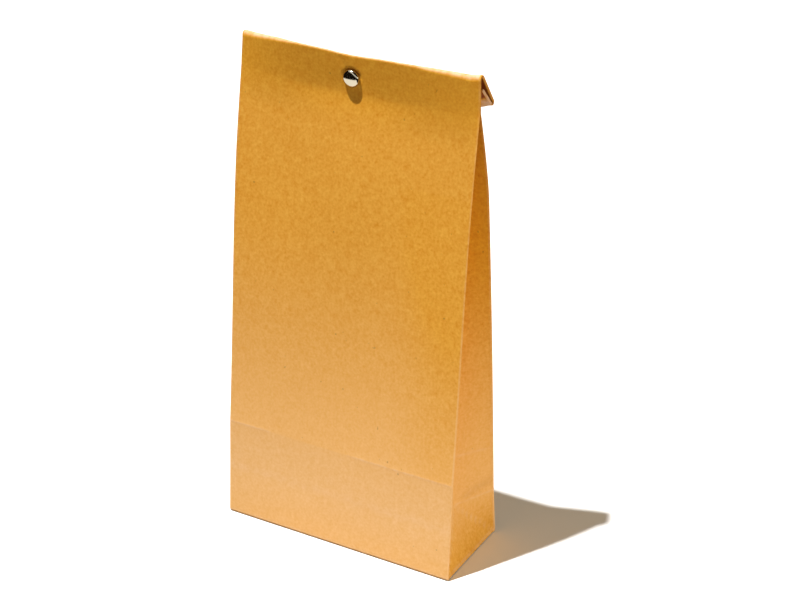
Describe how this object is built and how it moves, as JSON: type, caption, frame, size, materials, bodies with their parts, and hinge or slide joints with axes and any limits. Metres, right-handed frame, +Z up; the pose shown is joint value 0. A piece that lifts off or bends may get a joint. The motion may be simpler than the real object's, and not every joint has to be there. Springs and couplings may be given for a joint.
{
  "type": "paper sample bag",
  "caption": "Upright kraft paper bag with a block bottom and side gussets, its mouth folded over to the rear and pinned shut by a round-head paper fastener.",
  "frame": {"origin": "middle of the block bottom, on the surface the bag stands on", "axes": "+Z up, +X across the front panel, and the front panel with the fastener's cap faces -Y"},
  "size_m": [0.1, 0.04, 0.198],
  "materials": {
    "kraft_paper": "matte",
    "nickel_plate": "polished"
  },
  "bodies": {
    "root": {"paper_bag": "kraft_paper", "fastener_cap": "nickel_plate", "fastener_prongs": "nickel_plate"}
  },
  "joints": []
}
